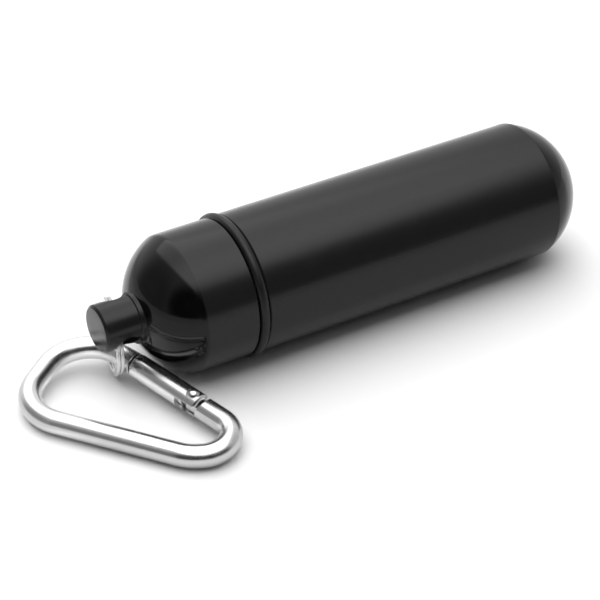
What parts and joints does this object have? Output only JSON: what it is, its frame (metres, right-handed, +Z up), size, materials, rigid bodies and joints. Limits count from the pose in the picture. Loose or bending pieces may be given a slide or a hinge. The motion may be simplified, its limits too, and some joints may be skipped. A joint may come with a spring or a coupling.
{
  "type": "keychain capsule",
  "caption": "Small black screw-capped keychain capsule with an O-ring, a split ring through its boss and a polished carabiner with a sprung gate",
  "frame": {"origin": "on the capsule's axis, at the edge of the barrel's mouth where its full width starts", "axes": "+X runs along the capsule from the boss to the closed end, +Z is up with the capsule lying on its side, -Y is the side the picture is taken from"},
  "size_m": [0.1065, 0.0411, 0.025],
  "materials": {
    "black_anodised": "satin black anodised",
    "black_rubber": "smooth",
    "polished_metal": "polished",
    "rivet_metal": "polished",
    "ring_steel": "plated"
  },
  "bodies": {
    "barrel": {"capsule_body": "black_anodised"},
    "seal": {"o_ring": "black_rubber"},
    "cap": {"cap": "black_anodised"},
    "ring": {"split_ring": "ring_steel"},
    "carabiner": {"carabiner_frame": "polished_metal"},
    "gate": {"carabiner_gate": "polished_metal", "hinge_rivet": "rivet_metal", "latch_pin": "rivet_metal", "gate_spring": "ring_steel"},
    "plunger": {"gate_plunger": "ring_steel"}
  },
  "joints": [
    {"name": "cap_travel", "type": "slide", "parent": "barrel", "child": "seal", "axis": [-1, 0, 0], "range_m": [0, 0.0075]},
    {"name": "cap_turn", "type": "hinge", "parent": "seal", "child": "cap", "pos_m": [0, 0, 0], "axis": [-1, 0, 0], "range_deg": [0, 1800]},
    {"name": "ring_swing", "type": "hinge", "parent": "cap", "child": "ring", "pos_m": [-0.0217, 0, 0], "axis": [0, -0.7431, -0.6691], "range_deg": [-100, 0]},
    {"name": "carabiner_swing", "type": "hinge", "parent": "ring", "child": "carabiner", "pos_m": [-0.02156, 0.00384, -0.00813], "axis": [-0.4964, 0.868, 0.0133], "range_deg": [-60, 15]},
    {"name": "gate_open", "type": "hinge", "parent": "carabiner", "child": "gate", "pos_m": [-0.01618, -0.01463, -0.00884], "axis": [-0.0818, -0.062, 0.9947], "range_deg": [0, 25], "stiffness_Nm_per_rad": 0.01, "springref_deg": -5.73},
    {"name": "plunger_slide", "type": "slide", "parent": "gate", "child": "plunger", "axis": [-0.2676, 0.9628, 0.038], "range_m": [0, 0.00042], "deforming": ["gate_spring"]}
  ],
  "couplings": [
    {"joint": "cap_travel", "follows": "cap_turn", "m_per_rad": 0.00023873},
    {"joint": "plunger_slide", "follows": "gate_open", "m_per_rad": 0.00096}
  ]
}
